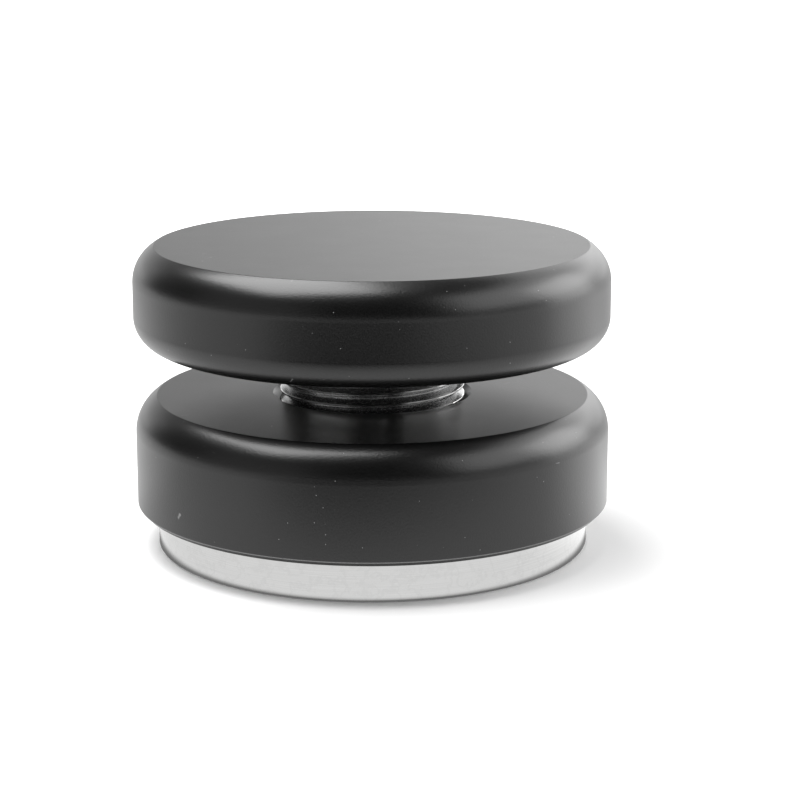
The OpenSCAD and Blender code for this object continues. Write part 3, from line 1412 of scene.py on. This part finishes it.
@dataclass
class DowelPair(Piece):
    """The two ground dowels that stop the stem from turning in the base."""

    name: str = "stem_dowel_pins"
    node: Node = Node.DOWELS
    body: Body = Body.BASE
    finish: Finish = GROUND_STEEL
    play: float = 0.02 * MM
    chamfer: float = 0.3 * MM
    segments: int = 64

    @property
    def box(self) -> Box:
        """Box of the pair."""
        return Box.of(self.node)

    @property
    def radius(self) -> float:
        """Radius of a dowel."""
        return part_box(self.node.value)[1].y

    def holes(self, low: float, high: float) -> list[bpy.types.Object]:
        """Makes the two drills for the dowels' holes.

        Args:
            low: Level where the holes start.
            high: Level where they end.

        Returns:
            Both drills.
        """
        r = self.radius + self.play
        line = Outline().to(0, low).to(r, low).to(r, high).to(0, high)
        return [self._pin("drill", line, side) for side in (-1, 1)]

    def shape(self) -> bpy.types.Object:
        """Makes both dowels as one piece.

        Returns:
            The dowels.
        """
        r, low, high = self.radius, self.box.low, self.box.high
        c, soft = self.chamfer, self.chamfer / 2
        line = Outline().to(0, low).to(r - c, low, soft).to(r, low + c, soft)
        line.to(r, high - c, soft).to(r - c, high, soft).to(0, high)
        sheet = bmesh.new()
        for pin in [self._pin(self.name, line, side) for side in (-1, 1)]:
            sheet.from_mesh(pin.data)
            bpy.data.meshes.remove(pin.data)
        return placed(self.name, sheet)

    def _pin(self, name: str, line: Outline, side: int) -> bpy.types.Object:
        """Turns one pin and moves it to its place.

        Args:
            name: Its name.
            line: Its half section.
            side: -1 or 1, for the dowel on that side of the axis.

        Returns:
            The pin.
        """
        pin = Lathe(self.segments).turn(name, line)
        pin.data.transform(Matrix.Translation((side * (self.box.r - self.radius), 0, 0)))
        return pin


@dataclass
class DepthCollar(Piece):
    """The collar: a skirt round the base under a threaded hub, with a countersunk mouth."""

    name: str = "collar_disc"
    node: Node = Node.COLLAR
    body: Body = Body.COLLAR
    finish: Finish = BLACK_ANODISED
    edge: RoundedEdge = RoundedEdge()
    base_gap: float = 0.3 * MM
    lower_chamfer: float = 0.55 * MM
    recess_room: float = 1.7 * MM
    recess_corner: float = 4.0  # as a multiple of a broken edge
    lip: float = 1.0 * MM
    countersink: float = 0.8 * MM

    def shape(self) -> bpy.types.Object:
        """Turns the collar and taps it.

        Returns:
            The collar.
        """
        box, base, ring = Box.of(Node.COLLAR), Box.of(Node.BASE), Box.of(Node.COLLAR_RING)
        broken = FIT.broken
        inner = base.r + self.base_gap
        ceiling = base.high + self.recess_room
        groove_low, groove_high = ring.low - FIT.ring_side, ring.high + FIT.ring_side
        groove_r = ring.r + FIT.ring_gap
        mouth = FIT.tap + self.countersink
        line = Outline().to(inner, box.low, broken).to(box.r - self.lower_chamfer, box.low, broken)
        line.to(box.r, box.low + self.lower_chamfer, broken)
        self.edge.rise(line, box.r, box.high)
        line.to(mouth, box.high, broken).to(FIT.nut, box.high - (mouth - FIT.nut))
        line.to(FIT.nut, groove_high, broken).to(groove_r, groove_high).to(groove_r, groove_low)
        line.to(FIT.bore, groove_low, broken).to(FIT.bore, ceiling, broken)
        line.to(inner, ceiling, self.recess_corner * broken)
        collar = Lathe().turn(self.name, line, closed=True)
        tap = Screw(FIT.tap_form(), ceiling + self.lip - FIT.pitch, box.high + 2 * FIT.pitch).cut("tap")
        return worked(collar, tap, Cut.REMOVE)

    def dressing(self) -> Finish:
        """Picks the black finish, with the sharp edge above the lower chamfer painted lighter: worn, and with
        a painted highlight.

        Returns:
            The collar's own finish.
        """
        box = Box.of(Node.COLLAR)
        edge = (box.r, box.low + self.lower_chamfer)
        # This edge takes a lighter grey: wear, and a painted edge highlight.
        return replace(BLACK_ANODISED, name="black_anodised_collar", worn_and_highlit_edges=(edge,))


@dataclass
class PalmHandle(Piece):
    """The handle: a disc with a blind threaded bore and a ring groove in its underside."""

    name: str = "handle_disc"
    node: Node = Node.HANDLE
    body: Body = Body.HANDLE
    finish: Finish = BLACK_ANODISED
    upper_edge: RoundedEdge = RoundedEdge()
    lower_edge: RoundedEdge = RoundedEdge(height=3.6 * MM, lean=math.radians(5.0))
    roof: float = 1.8 * MM
    relief: float = 1.8 * MM
    lead_in: float = 0.5 * MM

    def shape(self) -> bpy.types.Object:
        """Turns the handle and taps it.

        Returns:
            The handle.
        """
        box, ring = Box.of(Node.HANDLE), Box.of(Node.HANDLE_RING)
        broken = FIT.broken
        end = box.high - self.roof
        mouth = FIT.tap + self.lead_in
        groove_out = ring.r + FIT.ring_gap
        groove_in = ring.r - ring.height - FIT.ring_gap
        groove_top = ring.high + FIT.ring_gap
        line = Outline().to(0, end).to(FIT.bore, end, broken).to(FIT.bore, end - self.relief)
        line.to(FIT.nut, end - self.relief, broken).to(FIT.nut, box.low + mouth - FIT.nut)
        line.to(mouth, box.low, broken).to(groove_in, box.low, broken).to(groove_in, groove_top, broken)
        line.to(groove_out, groove_top, broken).to(groove_out, box.low, broken)
        self.lower_edge.sink(line, box.r, box.low)
        self.upper_edge.rise(line, box.r, box.high)
        handle = Lathe().turn(self.name, line.to(0, box.high))
        tap = Screw(FIT.tap_form(), box.low - 2 * FIT.pitch, end - 2 * FIT.slip).cut("tap")
        return worked(handle, tap, Cut.REMOVE)


@dataclass
class RubberRing(Piece):
    """A moulded ring of round section, with the fine ridge that its mould leaves inside and outside."""

    finish: Finish = RUBBER
    segments: int = 192
    steps: int = 40
    ridge: float = 0.025 * MM
    ridge_width: float = 0.1

    def shape(self) -> bpy.types.Object:
        """Turns the ring.

        Returns:
            The ring.
        """
        box = Box.of(self.node)
        wire = box.height / 2
        centre = (box.r - wire, box.low + wire)
        line = Outline(guard=MM)
        for k in range(self.steps):
            a = math.tau * k / self.steps
            off = min(abs(math.sin(a)) / self.ridge_width, 1.0)
            r = wire - self.ridge * off
            line.to(centre[0] + r * math.cos(a), centre[1] + r * math.sin(a))
        return Lathe(self.segments).turn(self.name, line, closed=True)


# The studio


def towards(azimuth: float, elevation: float) -> Vector:
    """Works out a direction.

    Args:
        azimuth: Degrees round from the front, counted towards the right.
        elevation: Degrees above the floor.

    Returns:
        The direction, of length one.
    """
    a, e = math.radians(azimuth), math.radians(elevation)
    return Vector((math.sin(a) * math.cos(e), -math.cos(a) * math.cos(e), math.sin(e)))


@dataclass(frozen=True)
class SoftBox:
    """A rectangular soft light, seen from the object at an azimuth and elevation in degrees.

    It is turned round its own axis by turn, in degrees. Where only names an object, it lights nothing else.
    """

    name: str
    azimuth: float
    elevation: float
    distance: float
    width: float
    height: float
    radiance: float
    facing: Facing = Facing.OBJECT
    turn: float = 0.0
    only: str = ""

    def hang(self, target: Vector) -> None:
        """Puts the light up.

        Args:
            target: The point that it is hung round and faces.
        """
        lamp = bpy.data.lights.new(self.name, "AREA")
        lamp.shape, lamp.size, lamp.size_y = "RECTANGLE", self.width, self.height
        lamp.energy = self.radiance * math.pi * self.width * self.height
        light = bpy.data.objects.new(self.name, lamp)
        out = towards(self.azimuth, self.elevation)
        light.location = target + out * self.distance
        back = Vector(self.facing.value or out)
        light.rotation_mode = "QUATERNION"
        spin = Matrix.Rotation(math.radians(self.turn), 3, back)
        light.rotation_quaternion = (spin @ back.to_track_quat("Z", "Y").to_matrix()).to_quaternion()
        bpy.context.scene.collection.objects.link(light)
        if self.only:
            lit = bpy.data.collections.new(self.name)
            lit.objects.link(bpy.data.objects[self.only])
            light.light_linking.receiver_collection = lit


@dataclass(frozen=True)
class Glow:
    """A patch of the studio's walls that polished and satin surfaces mirror, in degrees."""

    azimuth: float
    half_width: float
    elevation: float
    half_height: float
    soft: float
    radiance: float

    def paint(self, r: Recipe, azimuth: Socket, elevation: Socket) -> Socket:
        """Works out the patch's brightness.

        Args:
            r: The world's recipe.
            azimuth: Socket of the direction's azimuth, in radians.
            elevation: Socket of its elevation.

        Returns:
            The brightness's socket.
        """
        away = r.math("SUBTRACT", azimuth, math.radians(self.azimuth))
        round_off = r.math("ABSOLUTE", r.math("WRAP", away, math.pi, -math.pi))
        high_off = r.math("ABSOLUTE", r.math("SUBTRACT", elevation, math.radians(self.elevation)))
        across = r.between(round_off, *self._edge(self.half_width), 1, 0)
        up = r.between(high_off, *self._edge(self.half_height), 1, 0)
        return r.math("MULTIPLY", r.math("MULTIPLY", across, up), self.radiance)

    def _edge(self, half: float) -> Point:
        """Returns where the patch starts and stops fading, in radians from its middle."""
        return math.radians(half - self.soft / 2), math.radians(half + self.soft / 2)


@dataclass(frozen=True)
class Surround:
    """The room round the object: plain white to the eye, with walls of uneven brightness in reflections."""

    ambient: float = 0.7
    shade: float = 0.014
    # Azimuth, half width, elevation, half height, softness of the rim, radiance
    walls: tuple[Glow, ...] = (
        Glow(-60, 30, 8, 26, 22, 0.24),
        Glow(-135, 30, 10, 25, 20, 0.05),
        Glow(104, 62, 32, 20, 12, 1.7),
        Glow(156, 12, 32, 12, 14, 0.35),
        Glow(180, 46, 6, 16, 14, 0.72),
        Glow(152, 28, 6, 16, 14, 0.66),
        Glow(180, 40, 1, 6, 4, 0.5),
        Glow(68, 22, 2, 11, 10, 0.25),
    )

    def hang(self) -> None:
        """Sets the world up."""
        world = bpy.data.worlds.new("studio")
        world.use_nodes = True
        world.cycles.sampling_method = "NONE"
        bpy.context.scene.world = world
        r = Recipe(world.node_tree)
        r.tree.nodes.clear()
        way = r.add("TexCoord").outputs["Generated"]
        elevation = r.math("ARCSINE", r.add("SeparateXYZ", {"Vector": way}).outputs["Z"])
        azimuth = r.azimuth(way)
        glow: Value = self.shade
        for wall in self.walls:
            glow = r.math("ADD", wall.paint(r, azimuth, elevation), glow)
        ray = r.add("LightPath")
        gloss = r.add("Background", {"Color": glow, "Strength": 1.0})
        matt = r.add("Background", {"Color": grey(1.0), "Strength": self.ambient})
        white = r.add("Background", {"Color": grey(1.0), "Strength": 1.0})
        lit = r.add("MixShader", {0: ray.outputs["Is Glossy Ray"], 1: matt.outputs[0], 2: gloss.outputs[0]})
        mixed = r.add("MixShader", {0: ray.outputs["Is Camera Ray"], 1: lit.outputs[0], 2: white.outputs[0]})
        r.add("OutputWorld", {"Surface": mixed.outputs[0]})


@dataclass(frozen=True)
class Shade:
    """A round patch of the floor's glow, darker or lighter: its place, reach and tones. Reflections see a
    darker patch as painted shade and a lighter one as painted light.
    """

    x: float
    y: float
    start: float
    end: float
    inside: float
    outside: float = 1.0

    def paint(self, r: Recipe, where: Socket) -> Socket:
        """Works out the patch's tone.

        Args:
            r: The floor's recipe.
            where: Socket of the point on the floor.

        Returns:
            The tone's socket.
        """
        away = r.distance(r.flat(where), (self.x, self.y, 0.0))
        return r.between(away, self.start, self.end, self.inside, self.outside)


@dataclass(frozen=True)
class Floor:
    """The pale sheet that the object stands on. Glossy surfaces see only a glow painted on it by place, with
    painted shade and painted light.

    Its fields for the patch at the right say where a painted pool of light close to the object's right lies:
    where it fades in along x and y, between which directions in degrees it fades out, and how bright it is.
    """

    reach: float = 4.0
    albedo: float = 0.93
    gap: float = 0.05 * MM
    fibre: float = 0.8 * MM
    roughness: Point = (0.85, 0.95)
    # Painted shade and painted light that reflections see on the floor: a painted contact shadow round the
    # base, a dimmer ring far off, painted shade in front and to the front right, and lighter patches far off
    # and behind at the left.
    # Place, where the change starts and ends from there, tone inside, tone outside
    shades: tuple[Shade, ...] = (
        Shade(0.0, 0.0, 0.0298, 0.0316, 0.22),
        Shade(0.0, 0.0, 0.085, 0.125, 1.0, 0.74),
        Shade(-0.03, -0.19, 0.08, 0.15, 0.0),
        Shade(0.07, -0.12, 0.03, 0.085, 0.45),
        Shade(0.0, -0.11, 0.195, 0.22, 1.0, 1.35),
        Shade(-0.09, 0.07, 0.06, 0.08, 1.3),
    )
    # A painted pool of light on the floor's glow, close to the object's right.
    painted_light_x: Point = (0.012, 0.055)
    painted_light_y: Point = (-0.028, 0.01)
    painted_light_turn: Point = (115.0, 140.0)
    painted_light_tone: float = 0.85
    # The glow that the eye and matt light see on the floor: none close to the object, full far off, so that
    # it stays white to the horizon.
    horizon: Shade = Shade(0.0, 0.0, 0.12, 0.4, 0.0)

    def lay(self) -> None:
        """Lays the floor."""
        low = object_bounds()[0]
        sheet = bmesh.new()
        far, level = self.reach, low.z - self.gap
        corners = [(-far, -far), (far, -far), (far, far), (-far, far)]
        sheet.faces.new([sheet.verts.new((x, y, level)) for x, y in corners])
        floor = placed("floor", sheet)
        r = Skin("floor_paper")
        where = r.place()
        fibre = r.noise(where, self.fibre, detail=3.0)
        # Glossy rays see a painted glow: one, plus the painted pool of light at the right, times each patch
        # of painted shade and light.
        painted_reflection = r.math("ADD", 1.0, self._side(r, where))
        for shade in self.shades:
            painted_reflection = r.math("MULTIPLY", painted_reflection, shade.paint(r, where))
        seen = r.add("LightPath").outputs["Is Glossy Ray"]
        tones = {"Factor": seen, 2: self.horizon.paint(r, where), 3: painted_reflection}
        glow = r.add("Mix", tones, data_type="FLOAT").outputs[0]
        matt = r.math("MULTIPLY", r.math("SUBTRACT", 1, seen), self.albedo)
        r.vary(Base_Color=matt, Emission_Strength=glow, Roughness=r.spread(fibre, *self.roughness))
        r.even(Specular_IOR_Level=0.0, Emission_Color=grey(1.0))
        r.material.cycles.emission_sampling = "NONE"
        floor.data.materials.append(r.material)
        floor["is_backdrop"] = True

    def _side(self, r: Recipe, where: Socket) -> Socket:
        """Works out the painted pool of light close to the object's right side.

        Args:
            r: The floor's recipe.
            where: Socket of the point on the floor.

        Returns:
            Socket of the brightness that it adds.
        """
        x, y, _ = r.add("SeparateXYZ", {"Vector": where}).outputs
        side = r.between(r.azimuth(where), *map(math.radians, self.painted_light_turn), self.painted_light_tone, 0)
        for along, reach in ((x, self.painted_light_x), (y, self.painted_light_y)):
            side = r.math("MULTIPLY", side, r.between(along, *reach, 0, 1))
        return side


@dataclass(frozen=True)
class Camera:
    """The camera: a little above the object, looking slightly down on it.

    It stands in front, at a distance and elevation from a point on the axis at the given height, and is
    then aimed a little off that point. The lens is in millimetres.
    """

    elevation: float = math.radians(12.292)
    distance: float = 0.30053
    height: float = 0.025
    lens: float = 99.889
    yaw: float = math.radians(-0.7104)
    pitch: float = math.radians(-1.086)
    roll: float = math.radians(0.1675)
    clip: Point = (0.01, 20.0)

    def stand(self) -> None:
        """Puts the camera up."""
        cos, sin = math.cos(self.elevation), math.sin(self.elevation)
        facing = Matrix(((1, 0, 0), (0, sin, cos), (0, cos, -sin)))
        aim = Matrix.Rotation(self.roll, 3, "Z") @ Matrix.Rotation(self.pitch, 3, "X")
        aim = aim @ Matrix.Rotation(self.yaw, 3, "Y") @ facing
        axes = Matrix((aim[0], aim[1], -aim[2])).transposed()
        data = bpy.data.cameras.new("camera")
        data.lens = self.lens
        data.clip_start, data.clip_end = self.clip
        camera = bpy.data.objects.new("camera", data)
        place = Vector((0, -self.distance * cos, self.height + self.distance * sin))
        camera.matrix_world = Matrix.Translation(place) @ axes.to_4x4()
        bpy.context.scene.collection.objects.link(camera)
        bpy.context.scene.camera = camera


@dataclass(frozen=True)
class Studio:
    """Floor, light and camera.

    The cards and strips light the stem's thread only: they stand for what it mirrors in the narrow gap.
    """

    floor: Floor = Floor()
    surround: Surround = Surround()
    camera: Camera = Camera()
    # Name, azimuth, elevation, distance, width, height, radiance
    lights: tuple[SoftBox, ...] = (
        SoftBox("overhead_box", -108, 65.2, 0.605, 0.47, 0.6, 6.1, Facing.DOWN, 7),
        SoftBox("right_box", 107, 19, 0.6, 0.37, 0.39, 3.0),
        SoftBox("floor_fill", 130, 28, 0.6, 0.4, 0.3, 2.2, only="floor"),
        SoftBox("left_card", -54, -1, 0.1, 0.098, 0.042, 2.1, only="stem_thread"),
        SoftBox("left_strip", -20, -1, 0.1, 0.006, 0.042, 2.0, only="stem_thread"),
        SoftBox("front_card", 0, -1, 0.1, 0.036, 0.042, 0.4, only="stem_thread"),
        SoftBox("front_strip", 12.5, -1, 0.1, 0.009, 0.042, 1.4, only="stem_thread"),
        SoftBox("right_card", 61, -1, 0.1, 0.102, 0.042, 1.5, only="stem_thread"),
    )

    def set_up(self) -> None:
        """Sets the studio up round the object."""
        low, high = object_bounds()
        self.floor.lay()
        self.surround.hang()
        for light in self.lights:
            light.hang(target=(low + high) / 2)
        self.camera.stand()
        bpy.context.scene.view_settings.view_transform = "Standard"


def main() -> None:
    """Builds the pieces in order, then the studio."""
    logging.basicConfig(level=logging.INFO, format="%(name)s: %(message)s")
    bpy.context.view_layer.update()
    pieces: list[Piece] = [
        TampingBase(),
        ThreadedStem(),
        CapScrew(),
        LockWasher(),
        DowelPair(),
        DepthCollar(),
        RubberRing("collar_ring_moulded", Node.COLLAR_RING, Body.COLLAR_CARRIER),
        PalmHandle(),
        RubberRing("handle_ring_moulded", Node.HANDLE_RING, Body.HANDLE_CARRIER),
    ]
    for piece in pieces:
        piece.build()
    Studio().set_up()


if __name__ == "__main__":
    main()
